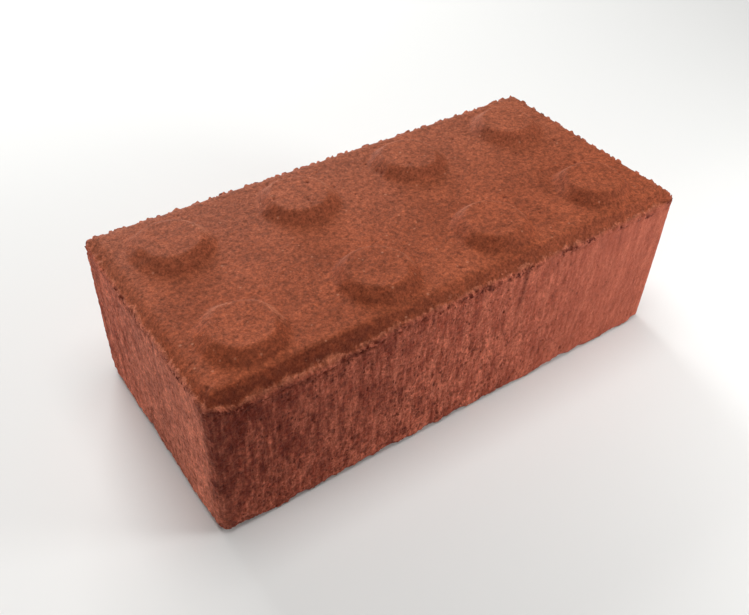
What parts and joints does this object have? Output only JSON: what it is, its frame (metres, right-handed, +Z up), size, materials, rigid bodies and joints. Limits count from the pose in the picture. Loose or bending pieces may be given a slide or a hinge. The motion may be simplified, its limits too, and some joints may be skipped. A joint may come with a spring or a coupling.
{
  "type": "blister paving block",
  "caption": "Rectangular pressed concrete paving block with flat-topped blisters and a chamfered top edge, for tactile paving.",
  "frame": {"origin": "middle of the underside", "axes": "+X along the block, +Y across it, +Z up out of the blistered face"},
  "size_m": [0.2, 0.095, 0.0689],
  "materials": {
    "facing_mix": "fine red pigmented concrete, pressed, matt",
    "backing_mix": "coarse red pigmented concrete, pressed and drag-marked, matt"
  },
  "bodies": {
    "root": {"facing_course": "facing_mix", "backing_course": "backing_mix"}
  },
  "joints": []
}
